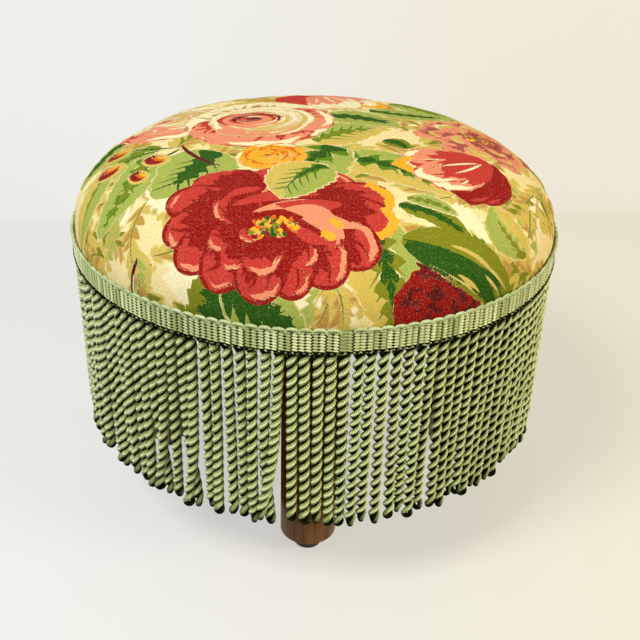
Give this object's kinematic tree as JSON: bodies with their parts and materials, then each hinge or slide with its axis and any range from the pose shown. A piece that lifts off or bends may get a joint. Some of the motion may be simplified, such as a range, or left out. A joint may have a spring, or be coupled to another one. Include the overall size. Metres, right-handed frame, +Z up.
{
  "type": "tuffet",
  "caption": "Round upholstered footstool: domed padded seat in a floral print, deep hanging bullion fringe, turned post legs on glides.",
  "frame": {"origin": "on the floor under the middle of the seat", "axes": "+Z up through the seat's middle; the front leg and the fringe's join are towards -Y"},
  "size_m": [0.36, 0.36, 0.2816],
  "materials": {
    "printed_cover": "matte",
    "fringe_cord": "satin",
    "foam": "matte",
    "wadding": "matte",
    "black_cambric": "matte",
    "plywood": "matte",
    "leg_wood": "satin",
    "glide_rubber": "matte",
    "steel": "satin"
  },
  "bodies": {
    "root": {"bullion_cords_01": "fringe_cord", "bullion_cords_02": "fringe_cord", "bullion_cords_03": "fringe_cord", "bullion_cords_04": "fringe_cord", "bullion_cords_05": "fringe_cord", "bullion_cords_06": "fringe_cord", "bullion_cords_07": "fringe_cord", "bullion_cords_08": "fringe_cord", "bullion_cords_09": "fringe_cord", "bullion_cords_10": "fringe_cord", "bullion_cords_11": "fringe_cord", "bullion_cords_12": "fringe_cord", "bullion_cords_13": "fringe_cord", "bullion_cords_14": "fringe_cord", "bullion_cords_15": "fringe_cord", "bullion_cords_16": "fringe_cord", "bullion_cords_17": "fringe_cord", "bullion_cords_18": "fringe_cord", "bullion_cords_19": "fringe_cord", "bullion_cords_20": "fringe_cord", "bullion_cords_21": "fringe_cord", "bullion_cords_22": "fringe_cord", "bullion_cords_23": "fringe_cord", "bullion_cords_24": "fringe_cord", "bullion_cords_25": "fringe_cord", "bullion_cords_26": "fringe_cord", "bullion_cords_27": "fringe_cord", "bullion_cords_28": "fringe_cord", "bullion_cords_29": "fringe_cord", "bullion_cords_30": "fringe_cord", "bullion_cords_31": "fringe_cord", "bullion_cords_32": "fringe_cord", "bullion_cords_33": "fringe_cord", "bullion_cords_34": "fringe_cord", "cover": "printed_cover", "cover_staples": "steel", "dust_cover": "black_cambric", "dust_cover_staples": "steel", "foam_pad": "foam", "fringe_header": "fringe_cord", "glide_back": "glide_rubber", "glide_front": "glide_rubber", "glide_left": "glide_rubber", "glide_nails": "steel", "glide_right": "glide_rubber", "hanger_bolts": "steel", "leg_back": "leg_wood", "leg_front": "leg_wood", "leg_left": "leg_wood", "leg_right": "leg_wood", "seat_board": "plywood", "t_nuts": "steel", "wadding": "wadding"}
  },
  "joints": []
}
